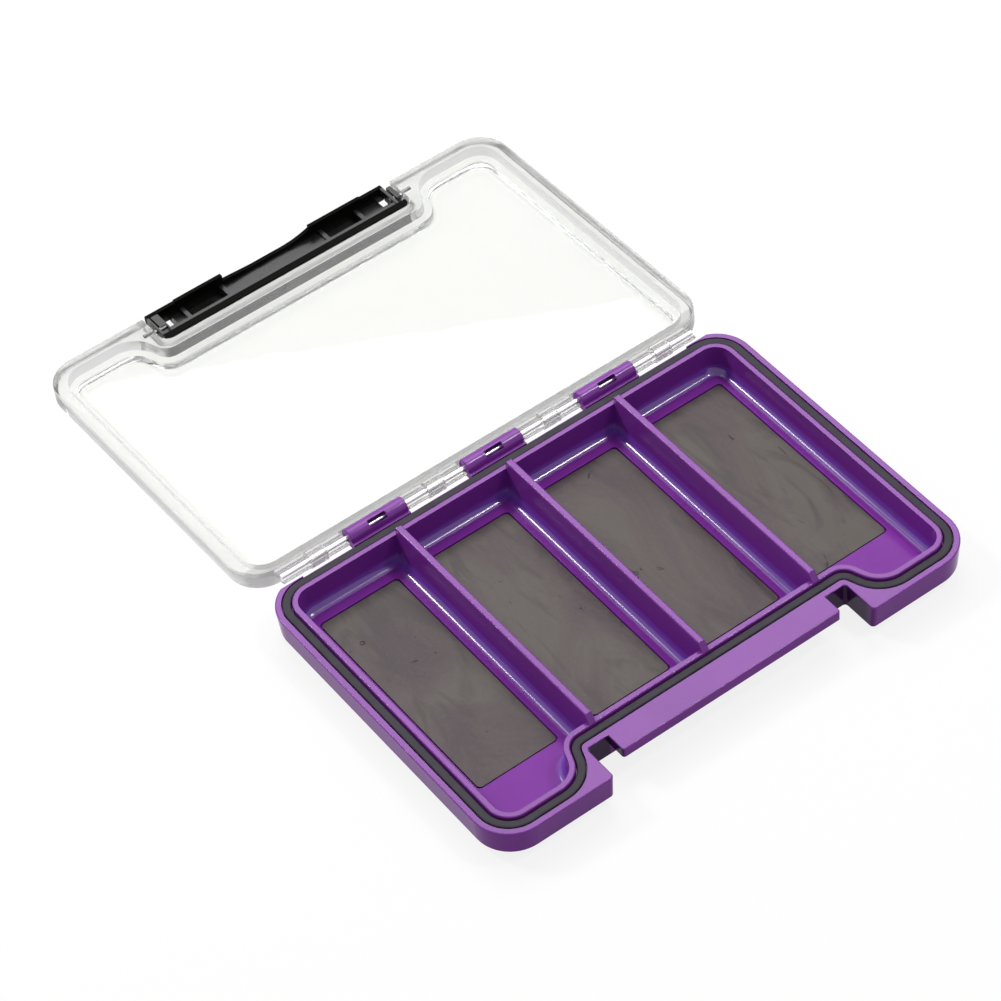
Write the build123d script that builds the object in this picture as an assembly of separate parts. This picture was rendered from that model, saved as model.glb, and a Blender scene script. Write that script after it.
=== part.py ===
from build123d import *
import math
import os

# Fly box, millimetres. Origin: centre of the tray's underside. +Y points to the hinge, +Z up.
# The lid and latch are drawn shut and then swung open, which is the rest pose.

# Tray outline
TRAY_LENGTH = 150.0
TRAY_DEPTH = 102.6
TRAY_CORNER_R = 11.0
BACK_FLAT_Y = 50.2
SKIRT_Z = 2.7
RIM_Z = 10.4
SKIRT_WALL = 1.6
SKIRT_DRAFT_DEG = 4.0
SKIRT_EDGE_R = 0.3
RIM_EDGE_R = 0.35
BACK_RIM_HALF = 62.0
BACK_RIM_Z = 9.5

# Front recess and the latch catch
RECESS_HALF = 40.65
RECESS_Y = -40.3
RECESS_TIP_R = 1.2
RECESS_INNER_R = 0.9
CATCH_HALF = 34.2
CATCH_FRONT_Y = -46.3
CATCH_UNDER_Z = 7.37
CATCH_CORNER_R = 0.8

# Sealing line: the gasket's centre line, offset from the outline
SEAL_HALF = 71.9
SEAL_FRONT_Y = -48.2
SEAL_BACK_Y = 48.3
SEAL_RECESS_Y = -37.1
SEAL_CORNER_R = 7.9
SEAL_BEND_X = 40.0
SEAL_BEND_DEG = 70.0
SEAL_BEND_IN_R = 3.3
SEAL_BEND_OUT_R = 9.8

# Gasket groove, raised band and pan
GROOVE_OUT = 1.45
BAND_OUT = 1.43
BAND_IN = 2.9
GROOVE_FLOOR_Z = 8.5
BAND_TOP_Z = 11.2
BAND_EDGE_R = 0.35
PAN_EDGE_R = 2.0
CHANNEL_ROOF_Z = 7.3
GASKET_HALF_WIDTH = 1.1
GASKET_TOP_Z = 10.55
GASKET_EDGE_R = 0.45

# Compartments and dividers
FLOOR_Z = 2.3
FLOOR_FILLET_R = 2.8
DIVIDER_PITCH = 35.15
DIVIDER_THICK = 1.95
DIVIDER_TOP_Z = 13.7
DIVIDER_FRONT_Y = -35.6
DIVIDER_SLANT = 1.8
DIVIDER_BACK_Y = 45.5
DIVIDER_EDGE_R = 0.45

# Magnet sheets and their films
MAGNET_WIDTH = 23.9
MAGNET_LENGTH = 67.6
MAGNET_CENTRE_Y = 6.0
MAGNET_CENTRES_X = (-52.7, -17.6, 17.6, 52.7)
MAGNET_CORNER_R = 1.2
MAGNET_TOP_Z = 2.2
FILM_TOP_Z = 1.5
POCKET_FLOOR_Z = 1.4
POCKET_GAP = 0.4
FILM_INSET = 0.6

# Hinge
HINGE_Y = 53.1
HINGE_Z = 10.5
PIN_R = 0.7
PIN_START_X = -66.6
PIN_END_X = 66.0
TRAY_KNUCKLE_R = 2.4
TRAY_KNUCKLE_LENGTH = 17.8
TRAY_KNUCKLES_X = (-37.1, 0.0, 37.1)
TRAY_BORE_R = 0.71
WINDOW_LENGTH = 5.5
WINDOW_WIDTH = 1.88
WINDOW_DEPTH = 0.5
WINDOW_TILT_DEG = 31.5
WEB_UNDER_Z = 8.1
WEB_TOP_Z = 10.3
LID_BLOCK_R = 2.3
LID_BLOCK_LENGTH = 5.0
LID_BLOCKS_X = (-55.6, -18.6, 18.6, 55.6)
LID_GROUPS_X = ((-66.6, -46.6), (-27.6, -9.4), (9.4, 27.6), (46.6, 66.0))
LID_BORE_R = 0.75
TROUGH_R = 2.0
TROUGH_BORE_R = 1.2
ARM_UNDER_Z = 10.8
ARM_TOP_Z = 12.5

# Lid, in the shut position
LID_HALF = 74.5
LID_FRONT_Y = -50.85
LID_BACK_Y = 49.8
LID_CORNER_R = 9.5
LID_RIM_Z = 10.65
LID_TOP_Z = 17.45
LID_EDGE_R = 2.5
LID_PANEL_Z = 16.05
LID_RECESS_HALF = 41.4
LID_RECESS_Y = -39.3
LID_RECESS_R = 3.0
LID_RIM_EDGE_R = 0.3
LID_LAND_IN = 1.1
LID_STEP_IN = 3.3
LID_STEP_Z = 14.05
LID_CAVITY_R = 1.9
OPEN_ANGLE = 182.02

# Latch, drawn about its own pivot with the hollow side up and the hook end at +Y
PIVOT_Y = -45.35
PIVOT_Z = 12.05
LATCH_HALF = 40.35
LATCH_HOOK_Y = 6.15
LATCH_BACK_Y = -5.4
LATCH_OUTER_Z = -5.15
LATCH_TOP_Z = 1.15
LATCH_EDGE_R = 0.6
LATCH_BACK_R = 1.2
LATCH_SKIN = 1.2
HOOK_WALL = 1.15
HOOK_LIP_HALF = 31.0
HOOK_LIP_Z = 1.5
BACK_WALL = 2.2
BACK_LEDGE_Y = -1.9
BACK_LEDGE_Z = 0.8
PAD_HALF = 15.9
PAD_Z = -2.1
DEEP_LEFT = 29.0
DEEP_RIGHT = 28.0
DEEP_Z = -4.0
RIB_THICK = 1.2
RIB_Z = -1.3
END_POCKET_Z = -2.6

# The finger gap in the hook wall: a step on the left, a curved ramp on the right
GRIP_LEFT_X = -15.5
GRIP_LEFT_Z = -0.4
GRIP_LOW_X = -6.0
GRIP_LOW_Z = -0.95
GRIP_RAMP_X = 4.0
GRIP_RIGHT_X = 13.6
GRIP_RIGHT_Z = 0.65

# Latch ends: a boss and a tab on the left, a thin wall and a free lug on the right
BOSS_IN = 37.0
BOSS_OUT = 39.2
BOSS_TOP_Z = 1.0
TAB_IN = 39.75
END_WALL_IN = 37.5
END_WALL_OUT = 38.4
LUG_IN = 39.0
LUG_FRONT_Y = 4.0
LUG_BACK_Y = -1.3
SIGHT_LEFT = (33.0, 38.4)
SIGHT_RIGHT = (36.0, 39.2)
SIGHT_BACK_Y = 1.7
SIGHT_TOP_Z = -1.6
SIGHT_HOOK_Z = -3.6
PIN_POCKET_IN = 37.4
PIN_POCKET_Y = -0.2
PIN_POCKET_Z = 0.0
LATCH_BORE_R = 0.8
LATCH_PIN_R = 0.75
LATCH_PIN_IN = 37.2
LATCH_PIN_OUT = 44.4
LID_PIN_BORE_R = 0.76


def block(x0, x1, y0, y1, z0, z1):
    """Box given by its six faces."""
    centre = Pos((x0 + x1) / 2, (y0 + y1) / 2, (z0 + z1) / 2)
    return centre * Box(x1 - x0, y1 - y0, z1 - z0)


def slab(face, z0, z1):
    """A flat face raised from z0 to z1."""
    return Pos(0, 0, z0) * extrude(face, z1 - z0)


def rod(radius, x0, x1, y, z):
    """A round bar along X."""
    return Pos((x0 + x1) / 2, y, z) * Rot(0, 90, 0) * Cylinder(radius, x1 - x0)


def plate(x0, x1, y0, y1):
    """A flat rectangular face."""
    return Pos((x0 + x1) / 2, (y0 + y1) / 2) * Rectangle(x1 - x0, y1 - y0)


def edges_at(part, z):
    """All edges lying in the level plane at z."""
    return part.edges().filter_by_position(Axis.Z, z - 0.001, z + 0.001)


def seal_face():
    """The area inside the gasket's centre line, with its bend on each side of the recess."""
    bend = math.radians(SEAL_BEND_DEG)
    arcs_drop = (SEAL_BEND_IN_R + SEAL_BEND_OUT_R) * (1 - math.cos(bend))
    straight = (SEAL_RECESS_Y - SEAL_FRONT_Y - arcs_drop) / math.sin(bend)
    middle = Line((0, SEAL_RECESS_Y), (-SEAL_BEND_X, SEAL_RECESS_Y))
    turn_in = JernArc(middle @ 1, middle % 1, SEAL_BEND_IN_R, SEAL_BEND_DEG)
    run = Line(turn_in @ 1, turn_in @ 1 + (turn_in % 1) * straight)
    turn_out = JernArc(run @ 1, run % 1, SEAL_BEND_OUT_R, -SEAL_BEND_DEG)
    front = Line(turn_out @ 1, (SEAL_CORNER_R - SEAL_HALF, SEAL_FRONT_Y))
    front_corner = JernArc(front @ 1, (-1, 0), SEAL_CORNER_R, -90)
    side = Line(front_corner @ 1, (-SEAL_HALF, SEAL_BACK_Y - SEAL_CORNER_R))
    back_corner = JernArc(side @ 1, (0, 1), SEAL_CORNER_R, -90)
    back = Line(back_corner @ 1, (0, SEAL_BACK_Y))
    half = middle + turn_in + run + turn_out + front + front_corner + side + back_corner + back
    return make_face(half + mirror(half, about=Plane.YZ))


def ring(face, outer, inner):
    """The band between two offsets of a face."""
    return offset(face, outer) - offset(face, inner)


def tray_plan():
    """Plan of the rim without the front recess: rounded rectangle with a flat back."""
    plan = RectangleRounded(TRAY_LENGTH, TRAY_DEPTH, TRAY_CORNER_R)
    return plan & plate(-TRAY_LENGTH, TRAY_LENGTH, -TRAY_DEPTH, BACK_FLAT_Y)


def recess_plan(half, back_y, corner_r):
    """Plan of a front recess, open towards the front."""
    plan = plate(-half, half, -TRAY_DEPTH, back_y)
    return fillet(plan.vertices().group_by(Axis.Y)[-1], corner_r)


def skirt_body():
    """The drafted outer body with the recess cut straight down and its edges rounded."""
    body = Pos(0, 0, RIM_Z) * extrude(tray_plan(), SKIRT_Z - RIM_Z, taper=SKIRT_DRAFT_DEG)
    body -= slab(recess_plan(RECESS_HALF, RECESS_Y, RECESS_INNER_R), 0, RIM_Z + 1)
    uprights = body.edges().filter_by_position(Axis.Z, SKIRT_Z + 1, RIM_Z - 1)
    uprights = uprights.filter_by_position(Axis.X, -RECESS_HALF - 0.1, RECESS_HALF + 0.1)
    body = fillet(uprights.group_by(Axis.Y)[0], RECESS_TIP_R)
    body = fillet(edges_at(body, SKIRT_Z), SKIRT_EDGE_R)
    return fillet(edges_at(body, RIM_Z), RIM_EDGE_R)


def tray_shell(seal):
    """Skirt, rim and inset pan, before the hollows are cut."""
    outline = tray_plan() - recess_plan(RECESS_HALF, RECESS_Y, RECESS_INNER_R)
    channel = offset(outline, -SKIRT_WALL) - offset(seal, -BAND_OUT)
    skirt = skirt_body() - slab(channel, 0, CHANNEL_ROOF_Z)
    skirt -= slab(ring(seal, GROOVE_OUT, -BAND_OUT), GROOVE_FLOOR_Z, BAND_TOP_Z)
    skirt -= block(-BACK_RIM_HALF, BACK_RIM_HALF, SEAL_BACK_Y, BACK_FLAT_Y + 1, BACK_RIM_Z, RIM_Z + 1)
    pan = slab(offset(seal, -BAND_OUT), 0, BAND_TOP_Z)
    pan = fillet(edges_at(pan, 0), PAN_EDGE_R)
    pan = fillet(edges_at(pan, BAND_TOP_Z), BAND_EDGE_R)
    return skirt + pan


def divider(x):
    """One wall between compartments, standing above the band with a sloped front end."""
    foot_z = FLOOR_Z - 0.5
    side = Polyline((DIVIDER_FRONT_Y, foot_z), (DIVIDER_FRONT_Y, BAND_TOP_Z),
                    (DIVIDER_FRONT_Y + DIVIDER_SLANT, DIVIDER_TOP_Z), (DIVIDER_BACK_Y, DIVIDER_TOP_Z),
                    (DIVIDER_BACK_Y, foot_z), close=True)
    wall = extrude(Plane.YZ * make_face(side), DIVIDER_THICK / 2, both=True)
    return Pos(x, 0, 0) * fillet(wall.edges().group_by(Axis.Z)[-1], DIVIDER_EDGE_R)


def compartment(seal, x0, x1):
    """The hollow of one compartment."""
    plan = offset(seal, -BAND_IN) & plate(x0, x1, -TRAY_DEPTH, TRAY_DEPTH)
    hollow = slab(plan, FLOOR_Z, DIVIDER_TOP_Z + 1)
    return fillet(edges_at(hollow, FLOOR_Z), FLOOR_FILLET_R)


def compartment_bounds():
    """X limits of the four compartments."""
    half = DIVIDER_THICK / 2
    walls = [-DIVIDER_PITCH, 0, DIVIDER_PITCH]
    starts = [-TRAY_LENGTH] + [x + half for x in walls]
    ends = [x - half for x in walls] + [TRAY_LENGTH]
    return zip(starts, ends)


def sheet(x, grow, z0, z1):
    """A rounded flat sheet centred in a compartment, grown by a margin."""
    plan = RectangleRounded(MAGNET_WIDTH + 2 * grow, MAGNET_LENGTH + 2 * grow, MAGNET_CORNER_R)
    return Pos(x, MAGNET_CENTRE_Y) * slab(plan, z0, z1)


def catch():
    """The ledge in the front recess that the latch hooks under."""
    ledge = block(-CATCH_HALF, CATCH_HALF, CATCH_FRONT_Y, RECESS_Y + 1, CATCH_UNDER_Z, RIM_Z)
    ledge = fillet(ledge.edges().filter_by(Axis.Z).group_by(Axis.Y)[0], CATCH_CORNER_R)
    return fillet(ledge.edges().group_by(Axis.Z)[-1].group_by(Axis.Y)[0], RIM_EDGE_R)


def tray_knuckle(x):
    """One barrel with its web to the back wall and a window over the pin."""
    half = TRAY_KNUCKLE_LENGTH / 2
    barrel = rod(TRAY_KNUCKLE_R, x - half, x + half, HINGE_Y, HINGE_Z)
    barrel = fillet(barrel.edges(), 0.3)
    barrel += block(x - half, x + half, BACK_FLAT_Y - 0.4, HINGE_Y, WEB_UNDER_Z, WEB_TOP_Z)
    barrel -= rod(TRAY_BORE_R, x - half - 1, x + half + 1, HINGE_Y, HINGE_Z)
    length = WINDOW_LENGTH / 2
    width = WINDOW_WIDTH / 2
    window = block(-length, length, -width, width, -WINDOW_DEPTH, 2 * TRAY_KNUCKLE_R)
    return barrel - Pos(x, HINGE_Y, HINGE_Z) * Rot(WINDOW_TILT_DEG, 0, 0) * window


def make_tray(seal):
    tray = tray_shell(seal)
    for x in (-DIVIDER_PITCH, 0, DIVIDER_PITCH):
        tray += divider(x)
    for x0, x1 in compartment_bounds():
        tray -= compartment(seal, x0, x1)
    for x in MAGNET_CENTRES_X:
        tray -= sheet(x, POCKET_GAP, POCKET_FLOOR_Z, FLOOR_Z + 0.5)
    tray += catch()
    for x in TRAY_KNUCKLES_X:
        tray += tray_knuckle(x)
    return tray


def make_gasket(seal):
    cord = slab(ring(seal, GASKET_HALF_WIDTH, -GASKET_HALF_WIDTH), GROOVE_FLOOR_Z, GASKET_TOP_Z)
    return fillet(edges_at(cord, GASKET_TOP_Z), GASKET_EDGE_R)


def lid_knuckles(x0, x1, block_x):
    """A run of half troughs over the pin with one closed barrel block, on a common arm."""
    trough = rod(TROUGH_R, x0, x1, HINGE_Y, HINGE_Z)
    trough -= rod(TROUGH_BORE_R, x0 - 1, x1 + 1, HINGE_Y, HINGE_Z)
    trough -= block(x0 - 1, x1 + 1, HINGE_Y - 5, HINGE_Y + 5, HINGE_Z - 5, HINGE_Z)
    half = LID_BLOCK_LENGTH / 2
    trough += rod(LID_BLOCK_R, block_x - half, block_x + half, HINGE_Y, HINGE_Z)
    arm = block(x0, x1, LID_BACK_Y - 1, HINGE_Y, ARM_UNDER_Z, ARM_TOP_Z)
    arm -= rod(TROUGH_BORE_R, x0 - 1, block_x - half, HINGE_Y, HINGE_Z)
    arm -= rod(TROUGH_BORE_R, block_x + half, x1 + 1, HINGE_Y, HINGE_Z)
    return trough + arm - rod(LID_BORE_R, x0 - 1, x1 + 1, HINGE_Y, HINGE_Z)


def lid_plan():
    """Plan of the lid: rounded rectangle with a through recess for the latch at its front."""
    middle_y = (LID_FRONT_Y + LID_BACK_Y) / 2
    plan = Pos(0, middle_y) * RectangleRounded(2 * LID_HALF, LID_BACK_Y - LID_FRONT_Y, LID_CORNER_R)
    return plan - recess_plan(LID_RECESS_HALF, LID_RECESS_Y, LID_RECESS_R)


def make_shut_lid(seal):
    """Clear lid: a land over the gasket, a step above the dividers' ends and a thin panel."""
    lid = slab(lid_plan(), LID_RIM_Z, LID_TOP_Z)
    lid = fillet(edges_at(lid, LID_TOP_Z), LID_EDGE_R)
    lid = fillet(edges_at(lid, LID_RIM_Z), LID_RIM_EDGE_R)
    lid -= slab(offset(seal, -LID_LAND_IN), LID_RIM_Z - 1, LID_STEP_Z)
    cavity = slab(offset(seal, -LID_STEP_IN), LID_RIM_Z - 1, LID_PANEL_Z)
    lid -= fillet(edges_at(cavity, LID_PANEL_Z), LID_CAVITY_R)
    for group, block_x in zip(LID_GROUPS_X, LID_BLOCKS_X):
        lid += lid_knuckles(group[0], group[1], block_x)
    for side in (-1, 1):
        lid -= latch_pin(side, LID_PIN_BORE_R)
    return lid


def latch_pin(side, radius):
    """A short pin through one end of the latch into the lid, in the shut position."""
    x0, x1 = sorted((side * LATCH_PIN_IN, side * LATCH_PIN_OUT))
    return rod(radius, x0, x1, PIVOT_Y, PIVOT_Z)


def latch_pockets():
    """Pockets between the long walls of the latch's hollow side."""
    hook_in = LATCH_HOOK_Y - HOOK_WALL
    top = LATCH_TOP_Z + 3
    cuts = [block(-BOSS_IN, END_WALL_IN, LATCH_BACK_Y + BACK_WALL, hook_in, BACK_LEDGE_Z, top)]
    cuts.append(block(-BOSS_IN, END_WALL_IN, BACK_LEDGE_Y, hook_in, RIB_Z, top))
    cuts.append(block(-PAD_HALF, PAD_HALF, BACK_LEDGE_Y, hook_in, PAD_Z, top))
    for side, deep_end, end_in in ((-1, DEEP_LEFT, BOSS_IN), (1, DEEP_RIGHT, END_WALL_IN)):
        x0, x1 = sorted((side * (PAD_HALF + RIB_THICK), side * deep_end))
        cuts.append(block(x0, x1, BACK_LEDGE_Y, hook_in, DEEP_Z, top))
        x0, x1 = sorted((side * (deep_end + RIB_THICK), side * end_in))
        cuts.append(block(x0, x1, BACK_LEDGE_Y, hook_in, END_POCKET_Z, top))
    return cuts


def latch_windows():
    """A see-through opening in the skin near each end, running out under the hook wall."""
    hook_in = LATCH_HOOK_Y - HOOK_WALL
    below = LATCH_OUTER_Z - 1
    cuts = []
    for side, span in ((-1, SIGHT_LEFT), (1, SIGHT_RIGHT)):
        x0, x1 = sorted((side * span[0], side * span[1]))
        cuts.append(block(x0, x1, SIGHT_BACK_Y, hook_in, below, SIGHT_TOP_Z))
        cuts.append(block(x0, x1, SIGHT_BACK_Y, LATCH_HOOK_Y + 1, below, SIGHT_HOOK_Z))
    return cuts


def latch_end_slots():
    """Cuts that leave a boss and a tab on the left and a thin wall and a free lug on the right."""
    hook_in = LATCH_HOOK_Y - HOOK_WALL
    back_in = LATCH_BACK_Y + BACK_WALL
    top = LATCH_TOP_Z + 3
    floor = LATCH_OUTER_Z + LATCH_SKIN
    return [
        block(-BOSS_OUT, -BOSS_IN, back_in, hook_in, BOSS_TOP_Z, top),
        block(-TAB_IN, -BOSS_OUT, back_in, hook_in, floor, top),
        block(-TAB_IN, -PIN_POCKET_IN, back_in, PIN_POCKET_Y, PIN_POCKET_Z, top),
        block(END_WALL_OUT, LUG_IN, back_in, LATCH_HOOK_Y + 1, floor, top),
        block(LUG_IN, LATCH_HALF + 1, LUG_FRONT_Y, LATCH_HOOK_Y + 1, floor, top),
        block(LUG_IN, LATCH_HALF + 1, back_in, LUG_BACK_Y, floor, top),
    ]


def grip_cut():
    """The finger gap in the middle of the hook wall."""
    sag = Line((GRIP_LEFT_X, GRIP_LEFT_Z), (GRIP_LOW_X, GRIP_LOW_Z))
    low = Line(sag @ 1, (GRIP_RAMP_X, GRIP_LOW_Z))
    ramp = TangentArc(low @ 1, (GRIP_RIGHT_X, GRIP_RIGHT_Z), tangent=low % 1)
    above = LATCH_TOP_Z + 4
    over = Polyline(ramp @ 1, (GRIP_RIGHT_X, above), (GRIP_LEFT_X, above), sag @ 0)
    gap = extrude(Plane.XZ * make_face(sag + low + ramp + over), 2, both=True)
    return Pos(0, LATCH_HOOK_Y, 0) * gap


def make_latch():
    """The rocker bar about its pivot."""
    bar = block(-LATCH_HALF, LATCH_HALF, LATCH_BACK_Y, LATCH_HOOK_Y, LATCH_OUTER_Z, LATCH_TOP_Z)
    bar = fillet(bar.edges().filter_by(Axis.Z).group_by(Axis.Y)[0], LATCH_BACK_R)
    bar = fillet(bar.edges().group_by(Axis.Z)[0], LATCH_EDGE_R)
    bar += block(-HOOK_LIP_HALF, HOOK_LIP_HALF, LATCH_HOOK_Y - HOOK_WALL, LATCH_HOOK_Y, 0, HOOK_LIP_Z)
    for cut in latch_pockets() + latch_windows() + latch_end_slots():
        bar -= cut
    bar -= grip_cut()
    for side in (-1, 1):
        x0, x1 = sorted((side * (LATCH_PIN_IN - 0.5), side * (LATCH_HALF + 1)))
        bar -= rod(LATCH_BORE_R, x0, x1, 0, 0)
    return bar


def swing_open(part):
    """Turn a part of the shut lid about the hinge to the rest pose."""
    return part.rotate(Axis((0, HINGE_Y, HINGE_Z), (1, 0, 0)), -OPEN_ANGLE)


def save(name, part):
    """Write one piece."""
    export_step(part, f"parts/{name}.step")


def main():
    os.makedirs("parts", exist_ok=True)
    seal = seal_face()
    save("base_tray", make_tray(seal))
    save("rim_gasket", make_gasket(seal))
    for number, x in enumerate(MAGNET_CENTRES_X, 1):
        save(f"magnet_sheet_{number}", sheet(x, 0, FILM_TOP_Z, MAGNET_TOP_Z))
        save(f"magnet_adhesive_{number}", sheet(x, -FILM_INSET, POCKET_FLOOR_Z, FILM_TOP_Z))
    save("hinge_pin", rod(PIN_R, PIN_START_X, PIN_END_X, HINGE_Y, HINGE_Z))
    save("lid", swing_open(make_shut_lid(seal)))
    shut_latch = Pos(0, PIVOT_Y, PIVOT_Z) * Rot(180, 0, 0) * make_latch()
    save("latch", swing_open(shut_latch))
    save("latch_pin_left", swing_open(latch_pin(-1, LATCH_PIN_R)))
    save("latch_pin_right", swing_open(latch_pin(1, LATCH_PIN_R)))


main()
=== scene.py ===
import math
import bpy
from mathutils import Euler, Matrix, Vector

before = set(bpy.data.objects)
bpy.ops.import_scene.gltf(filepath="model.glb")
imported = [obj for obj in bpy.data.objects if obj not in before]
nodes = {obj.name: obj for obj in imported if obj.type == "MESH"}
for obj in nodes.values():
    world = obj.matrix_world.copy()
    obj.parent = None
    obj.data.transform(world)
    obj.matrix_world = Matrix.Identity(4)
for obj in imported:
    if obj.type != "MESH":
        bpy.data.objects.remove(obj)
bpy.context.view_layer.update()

# Camera: solved pinhole, metres and degrees, for a square frame on a 36 mm sensor
CAMERA_PLACE = (-0.36872, -0.53259, 0.75587)
CAMERA_TURN_DEG = (41.99783, 4.02281, -36.72791)
CAMERA_LENS_MM = 141.2546
SENSOR_MM = 36.0

# How fast thick clear plastic greys, per metre, and after how many bounces light passes straight on
GLASS_DENSITY = 320.0
GLASS_BOUNCES = 4.5

# How much of a clear wall is frosted
GLASS_FROST = 0.22

# Painted shade along the lid's thick hinge edge, a darker band in what the glass lets by: from and to, in
# metres, and how softly each end starts
HINGE_SHADE_BAND = (0.0562, 0.0612)
HINGE_SHADE_SOFT = (0.0003, 0.001)

# Painted shade on the walls of the two notches beside the catch, in metres: reach across, then where the
# shade starts, is full and ends; then how dark it is at full
NOTCH_X = (0.0338, 0.0410)
NOTCH_Y = (-0.0525, -0.0480, -0.0398)
NOTCH_SHADE = 0.93

# The tray's floors and their rounded feet lie under this band of heights, in metres
FLOOR_BAND_Z = (0.0050, 0.0056)

# The latch's wall tops that get painted shade, in metres: past the first Y, or before the second and above
# the Z
HOOK_WALL_Y = 0.1564
NEAR_WALL_Y = 0.1482
NEAR_WALL_Z = 0.0066

# The width of a sharp step in a mask, in metres
EDGE = 0.0002

# Light levels, and the floor's size and height in metres
WORLD_LEVEL = 0.32
FLOOR_SIZE = 4.0
FLOOR_Z = -0.0001
FLOOR_GLOW = 0.84
FLOOR_BOUNCE = 0.55

# The studio's lamps: name, place, target, side length in metres, and watts
LAMPS = (
    ("key", (-0.50, 0.85, 0.95), (0.0, 0.05, 0.0), 0.22, 6.5),
    ("top", (0.35, 0.65, 1.15), (0.0, 0.05, 0.0), 0.9, 9.0),
    ("over", (0.50, -0.30, 1.15), (0.0, 0.0, 0.0), 0.14, 3.0),
)

scene = bpy.context.scene
scene.view_settings.view_transform = "Standard"


class Graph:
    """A material's node tree with short calls for the nodes used here."""

    def __init__(self, name):
        self.material = bpy.data.materials.new(name)
        self.material.use_nodes = True
        self.tree = self.material.node_tree
        self.tree.nodes.clear()
        self.output = self.add("ShaderNodeOutputMaterial")

    def add(self, kind, **settings):
        node = self.tree.nodes.new(kind)
        for key, value in settings.items():
            setattr(node, key, value)
        return node

    def link(self, source, target):
        self.tree.links.new(source, target)

    def place(self, scale=(1.0, 1.0, 1.0), turn=(0.0, 0.0, 0.0)):
        """Object coordinates, stretched."""
        where = self.add("ShaderNodeTexCoord")
        mapping = self.add("ShaderNodeMapping")
        mapping.inputs["Scale"].default_value = scale
        mapping.inputs["Rotation"].default_value = turn
        self.link(where.outputs["Object"], mapping.inputs["Vector"])
        return mapping.outputs["Vector"]

    def part_of(self, output, axis):
        """One axis of the object-space position ("Object") or normal ("Normal")."""
        where = self.add("ShaderNodeTexCoord")
        split = self.add("ShaderNodeSeparateXYZ")
        self.link(where.outputs[output], split.inputs[0])
        return split.outputs[axis]

    def math(self, operation, first, second=None):
        """One operation on one or two linked values."""
        node = self.add("ShaderNodeMath", operation=operation)
        self.link(first, node.inputs[0])
        if second is not None:
            self.link(second, node.inputs[1])
        return node.outputs[0]

    def past(self, value, start):
        """A sharp mask: 1 past a value, 0 before it."""
        return self.spread(value, start, start + EDGE, 0.0, 1.0)

    def before(self, value, end):
        """A sharp mask: 1 before a value, 0 past it."""
        return self.spread(value, end, end + EDGE, 1.0, 0.0)

    def steep(self):
        """1 on walls, 0 on level faces."""
        slope = self.math("ABSOLUTE", self.part_of("Normal", "Z"))
        return self.spread(slope, 0.35, 0.9, 1.0, 0.0)

    def noise(self, where, scale, detail=3.0, roughness=0.5, distortion=0.0):
        node = self.add("ShaderNodeTexNoise")
        node.inputs["Scale"].default_value = scale
        node.inputs["Detail"].default_value = detail
        node.inputs["Roughness"].default_value = roughness
        node.inputs["Distortion"].default_value = distortion
        self.link(where, node.inputs["Vector"])
        return node.outputs["Fac"]

    def ramp(self, value, stops):
        """A colour ramp; stops are (position, colour)."""
        node = self.add("ShaderNodeValToRGB")
        elements = node.color_ramp.elements
        while len(elements) < len(stops):
            elements.new(0.5)
        for element, (position, colour) in zip(elements, stops):
            element.position = position
            element.color = (*colour, 1.0)
        self.link(value, node.inputs["Fac"])
        return node.outputs["Color"]

    def spread(self, value, low, high, out_low, out_high):
        """Maps a value from one range to another, clamped."""
        node = self.add("ShaderNodeMapRange")
        node.inputs["From Min"].default_value = low
        node.inputs["From Max"].default_value = high
        node.inputs["To Min"].default_value = out_low
        node.inputs["To Max"].default_value = out_high
        self.link(value, node.inputs["Value"])
        return node.outputs["Result"]

    def mix(self, factor, first, second, blend="MIX"):
        """Mixes two colours; factor and colours may be links or values."""
        node = self.add("ShaderNodeMix", data_type="RGBA", blend_type=blend)
        for socket, value in ((node.inputs[0], factor), (node.inputs[6], first), (node.inputs[7], second)):
            if isinstance(value, bpy.types.NodeSocket):
                self.link(value, socket)
            elif isinstance(value, tuple):
                socket.default_value = (*value, 1.0)
            else:
                socket.default_value = value
        return node.outputs[2]

    def bump(self, height, strength, distance, under=None):
        node = self.add("ShaderNodeBump")
        node.inputs["Strength"].default_value = strength
        node.inputs["Distance"].default_value = distance
        self.link(height, node.inputs["Height"])
        if under is not None:
            self.link(under, node.inputs["Normal"])
        return node.outputs["Normal"]

    def principled(self, **values):
        """The surface shader; each value is a link or a setting for a socket."""
        shader = self.add("ShaderNodeBsdfPrincipled")
        for key, value in values.items():
            socket = shader.inputs[key.replace("_", " ")]
            if isinstance(value, bpy.types.NodeSocket):
                self.link(value, socket)
            elif isinstance(value, tuple) and len(value) == 3:
                socket.default_value = (*value, 1.0)
            else:
                socket.default_value = value
        return shader.outputs["BSDF"]

    def blend(self, factor, first, second):
        """Mixes two shaders by a linked factor."""
        node = self.add("ShaderNodeMixShader")
        self.link(factor, node.inputs[0])
        self.link(first, node.inputs[1])
        self.link(second, node.inputs[2])
        return node.outputs[0]

    def finish(self, surface):
        self.link(surface, self.output.inputs["Surface"])
        return self.material


def scratches(graph, scale, turn, width):
    """Thin broken lines: stretched noise kept only near its middle value."""
    where = graph.place(scale=scale, turn=turn)
    lines = graph.noise(where, 1.0, detail=2.0, distortion=0.6)
    near = graph.add("ShaderNodeMath", operation="SUBTRACT")
    near.inputs[1].default_value = 0.5
    graph.link(lines, near.inputs[0])
    size = graph.add("ShaderNodeMath", operation="ABSOLUTE")
    graph.link(near.outputs[0], size.inputs[0])
    return graph.spread(size.outputs[0], 0.0, width, 1.0, 0.0)


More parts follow.
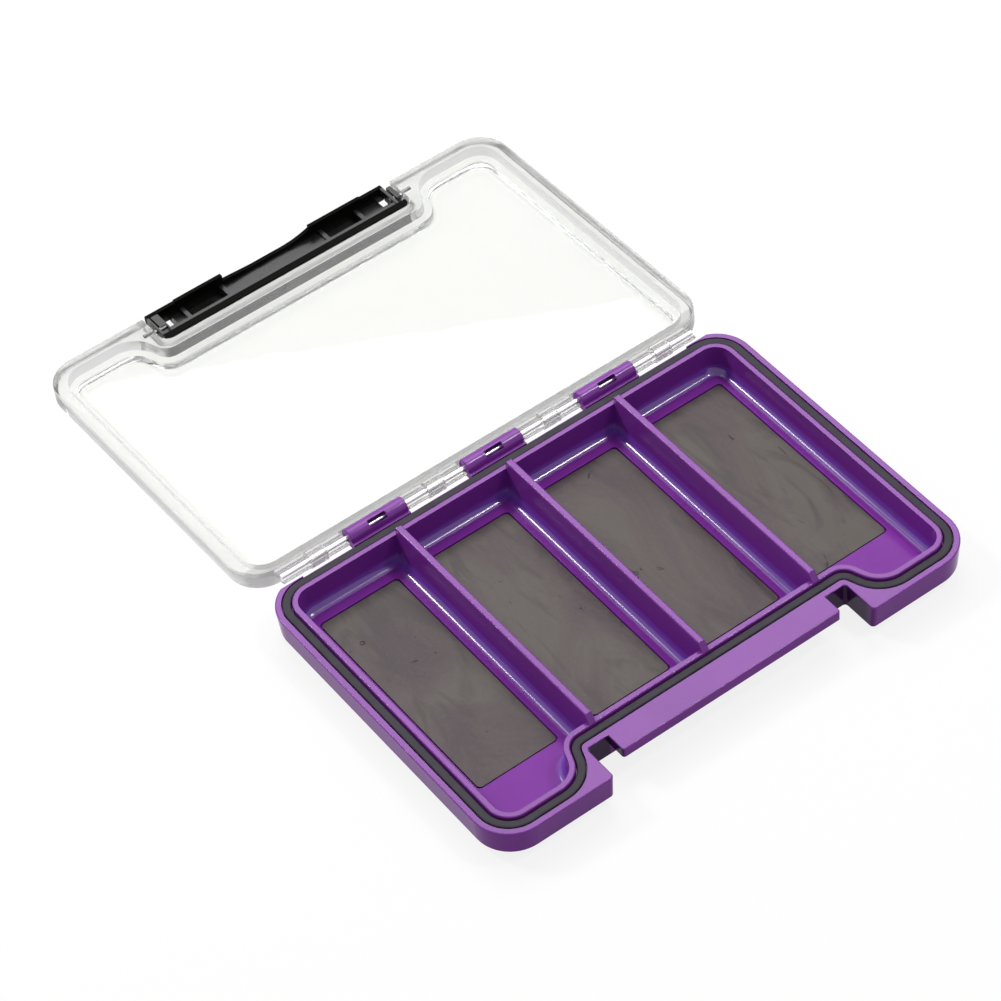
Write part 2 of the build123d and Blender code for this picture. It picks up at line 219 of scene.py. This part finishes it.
def notch_painted_shade(graph):
    """How much painted shade darkens a wall of the two notches beside the latch catch."""
    across = graph.math("ABSOLUTE", graph.part_of("Object", "X"))
    inside = graph.math("MULTIPLY", graph.past(across, NOTCH_X[0]), graph.before(across, NOTCH_X[1]))
    along = graph.part_of("Object", "Y")
    deep = graph.spread(along, NOTCH_Y[0], NOTCH_Y[1], 0.0, NOTCH_SHADE)
    deep = graph.math("MULTIPLY", deep, graph.before(along, NOTCH_Y[2]))
    return graph.math("MULTIPLY", graph.math("MULTIPLY", inside, deep), graph.steep())


def tray_gloss(graph):
    """The tray's gloss, higher on the floors' rounded feet, and a mask of those feet, which carries their
    painted highlight tint.
    """
    up = graph.part_of("Normal", "Z")
    top_gloss = graph.spread(up, 0.05, 0.4, 0.08, 0.31)
    curved = graph.spread(up, 0.05, 0.35, 0.08, 0.62)
    not_level = graph.spread(up, 0.94, 0.985, 1.0, 0.12)
    floor_gloss = graph.math("MULTIPLY", curved, not_level)
    low = graph.spread(graph.part_of("Object", "Z"), FLOOR_BAND_Z[0], FLOOR_BAND_Z[1], 1.0, 0.0)
    gap = graph.math("MULTIPLY", graph.math("SUBTRACT", floor_gloss, top_gloss), low)
    return graph.math("ADD", top_gloss, gap), graph.math("MULTIPLY", floor_gloss, low)


def tray_plastic():
    """Purple moulded plastic with a faint cloudy tone and fine moulding texture; a blue-violet painted
    highlight on the floors' rounded feet and painted shade on the notch walls beside the catch.
    """
    graph = Graph("tray plastic")
    where = graph.place()
    cloud = graph.noise(where, 38.0, detail=4.0)
    grain = graph.noise(where, 1400.0, detail=3.0)
    swirl = graph.noise(graph.place(scale=(1.0, 0.25, 1.0)), 120.0, detail=3.0, distortion=0.8)
    colour = graph.ramp(cloud, [(0.3, (0.205, 0.030, 0.318)), (0.7, (0.234, 0.038, 0.362))])
    lines = scratches(graph, (60.0, 900.0, 300.0), (0.0, 0.0, 0.5), 0.006)
    colour = graph.mix(graph.spread(lines, 0.0, 1.0, 0.0, 0.10), colour, (0.36, 0.18, 0.46))
    gloss, foot_highlight = tray_gloss(graph)
    # Painted highlight: the floors' rounded feet are tinted blue-violet to stand for the highlight streaks
    # along them.
    colour = graph.mix(graph.spread(foot_highlight, 0.2, 0.62, 0.0, 0.6), colour, (0.135, 0.045, 0.430))
    # Painted shade: the walls of the notches beside the catch are darkened nearly to black.
    colour = graph.mix(notch_painted_shade(graph), colour, (0.030, 0.004, 0.048))
    rough = graph.spread(swirl, 0.3, 0.7, 0.11, 0.19)
    normal = graph.bump(grain, 0.10, 0.00003)
    normal = graph.bump(swirl, 0.10, 0.00012, under=normal)
    return graph.finish(graph.principled(
        Base_Color=colour, Roughness=rough, IOR=1.5, Specular_IOR_Level=gloss, Normal=normal))


def gasket_rubber():
    """Dark rubber cord with a dusty, slightly uneven surface."""
    graph = Graph("gasket rubber")
    where = graph.place()
    dust = graph.noise(where, 260.0, detail=4.0)
    grain = graph.noise(where, 2600.0, detail=2.0)
    colour = graph.ramp(dust, [(0.3, (0.026, 0.023, 0.030)), (0.75, (0.056, 0.049, 0.065))])
    rough = graph.spread(dust, 0.3, 0.7, 0.5, 0.65)
    normal = graph.bump(grain, 0.25, 0.00004)
    return graph.finish(graph.principled(
        Base_Color=colour, Roughness=rough, IOR=1.5, Specular_IOR_Level=0.2, Normal=normal))


def magnet_rubber():
    """Grey-brown flexible magnet: smudged, with calender marks, creases and a few dents."""
    graph = Graph("magnet rubber")
    where = graph.place()
    long_ways = graph.place(scale=(1.0, 0.5, 1.0))
    mottle = graph.noise(long_ways, 27.0, detail=5.0, roughness=0.6, distortion=1.3)
    speck = graph.noise(where, 900.0, detail=3.0)
    slanted = graph.place(scale=(1.0, 0.3, 1.0), turn=(0.0, 0.0, 0.9))
    smear = graph.noise(slanted, 90.0, detail=4.0, distortion=2.2)
    colour = graph.ramp(mottle, [(0.38, (0.040, 0.020, 0.026)), (0.47, (0.068, 0.048, 0.047)),
                                 (0.58, (0.094, 0.081, 0.070))])
    colour = graph.mix(graph.spread(speck, 0.5, 0.8, 0.0, 0.14), colour, (0.15, 0.135, 0.125))
    stain = graph.spread(smear, 0.53, 0.66, 0.0, 0.5)
    colour = graph.mix(stain, colour, (0.030, 0.020, 0.022))
    lines = scratches(graph, (500.0, 45.0, 100.0), (0.0, 0.0, -0.35), 0.004)
    colour = graph.mix(graph.spread(lines, 0.0, 1.0, 0.0, 0.14), colour, (0.035, 0.025, 0.027))
    dents = graph.noise(graph.place(scale=(1.0, 0.6, 1.0)), 260.0, detail=3.0, distortion=0.8)
    dent = graph.spread(dents, 0.70, 0.76, 0.0, 1.0)
    rough = graph.spread(mottle, 0.3, 0.7, 0.26, 0.48)
    normal = graph.bump(speck, 0.2, 0.00004)
    normal = graph.bump(smear, 0.4, 0.0004, under=normal)
    normal = graph.bump(dent, 0.7, 0.0003, under=normal)
    return graph.finish(graph.principled(
        Base_Color=colour, Roughness=rough, IOR=1.5, Specular_IOR_Level=0.26, Normal=normal))


def adhesive_film():
    """Cloudy double-sided film."""
    graph = Graph("adhesive film")
    cloud = graph.noise(graph.place(), 300.0, detail=3.0)
    colour = graph.ramp(cloud, [(0.3, (0.42, 0.39, 0.32)), (0.7, (0.52, 0.49, 0.41))])
    rough = graph.spread(cloud, 0.3, 0.7, 0.4, 0.6)
    normal = graph.bump(cloud, 0.2, 0.00005)
    return graph.finish(graph.principled(Base_Color=colour, Roughness=rough, Normal=normal))


def pin_steel(name, dark, pale):
    """Drawn wire with fine lines along it."""
    graph = Graph(name)
    drawn = graph.noise(graph.place(scale=(40.0, 2600.0, 2600.0)), 1.0, detail=2.0)
    spots = graph.noise(graph.place(), 220.0, detail=4.0)
    colour = graph.ramp(spots, [(0.3, dark), (0.7, pale)])
    rough = graph.spread(drawn, 0.3, 0.7, 0.18, 0.34)
    normal = graph.bump(drawn, 0.2, 0.00002)
    return graph.finish(graph.principled(
        Base_Color=colour, Metallic=1.0, Roughness=rough, Normal=normal))


def latch_plastic():
    """Black moulded plastic, satin inside; painted shade makes the tops of its long walls darker and
    almost without gloss.
    """
    graph = Graph("latch plastic")
    where = graph.place()
    rub = graph.noise(where, 180.0, detail=4.0)
    grain = graph.noise(where, 2200.0, detail=2.0)
    colour = graph.ramp(rub, [(0.35, (0.006, 0.006, 0.006)), (0.8, (0.014, 0.014, 0.015))])
    along = graph.part_of("Object", "Y")
    high = graph.past(graph.part_of("Object", "Z"), NEAR_WALL_Z - EDGE)
    near = graph.math("MULTIPLY", high, graph.before(along, NEAR_WALL_Y))
    shaded = graph.math("MAXIMUM", graph.past(along, HOOK_WALL_Y - EDGE), near)
    # Painted shade: the wall tops are darkened and lose almost all gloss, standing for the dark reflection
    # of their polished tops.
    colour = graph.mix(shaded, colour, (0.004, 0.004, 0.0035))
    gloss = graph.spread(shaded, 0.0, 1.0, 0.6, 0.02)
    rough = graph.spread(rub, 0.3, 0.7, 0.24, 0.36)
    normal = graph.bump(grain, 0.2, 0.00003)
    return graph.finish(graph.principled(
        Base_Color=colour, Roughness=rough, IOR=1.5, Specular_IOR_Level=gloss, Normal=normal))


def clear_film(graph, tint):
    """A see-through surface that only tints."""
    film = graph.add("ShaderNodeBsdfTransparent")
    film.inputs["Color"].default_value = (*tint, 1.0)
    return film.outputs[0]


def glass_tint(graph, wall):
    """What each pass through the surface lets by: less on level faces, and least along the hinge, where it
    is painted shade.
    """
    tint = graph.mix(wall, (0.868, 0.873, 0.851), (0.93, 0.93, 0.93))
    along = graph.part_of("Object", "Y")
    # Painted shade: the band along the hinge lets by only about half the light, darkening that edge of the
    # lid.
    start = graph.spread(along, HINGE_SHADE_BAND[0], HINGE_SHADE_BAND[0] + HINGE_SHADE_SOFT[0], 0.0, 1.0)
    fade = graph.spread(along, HINGE_SHADE_BAND[1] - HINGE_SHADE_SOFT[1], HINGE_SHADE_BAND[1], 1.0, 0.0)
    return graph.mix(graph.math("MULTIPLY", start, fade), tint, (0.52, 0.52, 0.515))


def glass_surface(graph):
    """Clear polished plastic whose steep walls are rougher and slightly frosted."""
    wall = graph.steep()
    ripple = graph.noise(graph.place(), 60.0, detail=2.0)
    scuff = scratches(graph, (90.0, 700.0, 300.0), (0.0, 0.0, 0.8), 0.003)
    scuffed = graph.spread(scuff, 0.0, 1.0, 0.015, 0.12)
    rough = graph.math("MAXIMUM", scuffed, graph.spread(wall, 0.0, 1.0, 0.0, 0.16))
    shine = graph.mix(wall, (0.08, 0.08, 0.08), (0.74, 0.74, 0.74))
    glass = graph.principled(
        Base_Color=glass_tint(graph, wall), Roughness=rough, IOR=1.45, Specular_Tint=shine,
        Transmission_Weight=1.0, Normal=graph.bump(ripple, 0.06, 0.0002))
    frost = graph.add("ShaderNodeBsdfDiffuse")
    frost.inputs["Color"].default_value = (0.86, 0.86, 0.86, 1.0)
    return graph.blend(graph.spread(wall, 0.0, 1.0, 0.0, GLASS_FROST), glass, frost.outputs[0])


def clear_plastic():
    """The lid's plastic: light caught inside passes on at last, and its shadow is thin."""
    graph = Graph("clear plastic")
    light = graph.add("ShaderNodeLightPath")
    late = graph.add("ShaderNodeMath", operation="GREATER_THAN")
    late.inputs[1].default_value = GLASS_BOUNCES
    graph.link(light.outputs["Ray Depth"], late.inputs[0])
    seen = graph.blend(late.outputs[0], glass_surface(graph), clear_film(graph, (0.84, 0.84, 0.84)))
    passing = clear_film(graph, (0.93, 0.94, 0.93))
    haze = graph.add("ShaderNodeVolumeAbsorption")
    haze.inputs["Color"].default_value = (0.95, 0.95, 0.95, 1.0)
    haze.inputs["Density"].default_value = GLASS_DENSITY
    graph.link(haze.outputs[0], graph.output.inputs["Volume"])
    return graph.finish(graph.blend(light.outputs["Is Shadow Ray"], seen, passing))


def seen_directly(tree):
    """1 for camera, glossy and see-through rays, 0 for the rest."""
    path = tree.nodes.new("ShaderNodeLightPath")
    total = path.outputs["Is Camera Ray"]
    for name in ("Is Glossy Ray", "Is Transmission Ray"):
        most = tree.nodes.new("ShaderNodeMath")
        most.operation = "MAXIMUM"
        tree.links.new(total, most.inputs[0])
        tree.links.new(path.outputs[name], most.inputs[1])
        total = most.outputs[0]
    return total


def make_world():
    """Even studio light; white where it is seen."""
    world = bpy.data.worlds.new("studio")
    world.use_nodes = True
    scene.world = world
    tree = world.node_tree
    tree.nodes.clear()
    output = tree.nodes.new("ShaderNodeOutputWorld")
    shine = tree.nodes.new("ShaderNodeBackground")
    white = tree.nodes.new("ShaderNodeBackground")
    mix = tree.nodes.new("ShaderNodeMixShader")
    shine.inputs["Color"].default_value = (1.0, 1.0, 1.0, 1.0)
    shine.inputs["Strength"].default_value = WORLD_LEVEL
    white.inputs["Color"].default_value = (1.0, 1.0, 1.0, 1.0)
    white.inputs["Strength"].default_value = 1.0
    tree.links.new(seen_directly(tree), mix.inputs[0])
    tree.links.new(shine.outputs[0], mix.inputs[1])
    tree.links.new(white.outputs[0], mix.inputs[2])
    tree.links.new(mix.outputs[0], output.inputs["Surface"])


def make_floor():
    """A pale floor that keeps soft shadows."""
    bpy.ops.mesh.primitive_plane_add(size=FLOOR_SIZE, location=(0.0, 0.0, FLOOR_Z))
    floor = bpy.context.object
    floor.name = "floor"
    graph = Graph("floor")
    cloud = graph.noise(graph.place(), 3.0, detail=2.0)
    pale = graph.ramp(cloud, [(0.0, (0.93, 0.93, 0.93)), (1.0, (0.95, 0.95, 0.95))])
    seen = seen_directly(graph.tree)
    colour = graph.mix(seen, (FLOOR_BOUNCE, FLOOR_BOUNCE, FLOOR_BOUNCE), pale)
    matte = graph.principled(Base_Color=colour, Roughness=0.9, Specular_IOR_Level=0.0)
    glow = graph.add("ShaderNodeEmission")
    glow.inputs["Color"].default_value = (1.0, 1.0, 1.0, 1.0)
    mix = graph.add("ShaderNodeMixShader")
    amount = graph.add("ShaderNodeMath", operation="MULTIPLY")
    amount.inputs[1].default_value = FLOOR_GLOW
    graph.link(seen, amount.inputs[0])
    graph.link(amount.outputs[0], mix.inputs[0])
    graph.link(matte, mix.inputs[1])
    graph.link(glow.outputs[0], mix.inputs[2])
    floor.data.materials.append(graph.finish(mix.outputs[0]))


def make_lamp(name, place, target, size, watts):
    """A soft square lamp aimed at a point."""
    data = bpy.data.lights.new(name, "AREA")
    data.shape = "SQUARE"
    data.size = size
    data.energy = watts
    lamp = bpy.data.objects.new(name, data)
    lamp.location = place
    aim = Vector(target) - Vector(place)
    lamp.rotation_euler = aim.to_track_quat("-Z", "Y").to_euler()
    scene.collection.objects.link(lamp)


def make_camera():
    data = bpy.data.cameras.new("camera")
    data.sensor_width = SENSOR_MM
    data.lens = CAMERA_LENS_MM
    data.clip_start = 0.01
    data.clip_end = 20.0
    camera = bpy.data.objects.new("camera", data)
    camera.location = CAMERA_PLACE
    camera.rotation_euler = Euler([math.radians(v) for v in CAMERA_TURN_DEG], "XYZ")
    scene.collection.objects.link(camera)
    scene.camera = camera


def dress(name, material):
    """Give a CAD node its finished material."""
    node = nodes[name]
    node.data.materials.clear()
    node.data.materials.append(material)


def dress_all():
    magnet = magnet_rubber()
    film = adhesive_film()
    bright = pin_steel("bright pin steel", (0.78, 0.78, 0.77), (0.90, 0.90, 0.89))
    # Painted shade: the latch pins use a darker copy of the pin steel, standing for the shade inside the
    # latch.
    shaded = pin_steel("dull pin steel", (0.16, 0.16, 0.16), (0.24, 0.24, 0.24))
    dress("base_tray", tray_plastic())
    dress("rim_gasket", gasket_rubber())
    for number in range(1, 5):
        dress(f"magnet_sheet_{number}", magnet)
        dress(f"magnet_adhesive_{number}", film)
    dress("lid", clear_plastic())
    dress("latch", latch_plastic())
    dress("hinge_pin", bright)
    for side in ("left", "right"):
        dress(f"latch_pin_{side}", shaded)


dress_all()
make_world()
make_floor()
for lamp in LAMPS:
    make_lamp(*lamp)
make_camera()
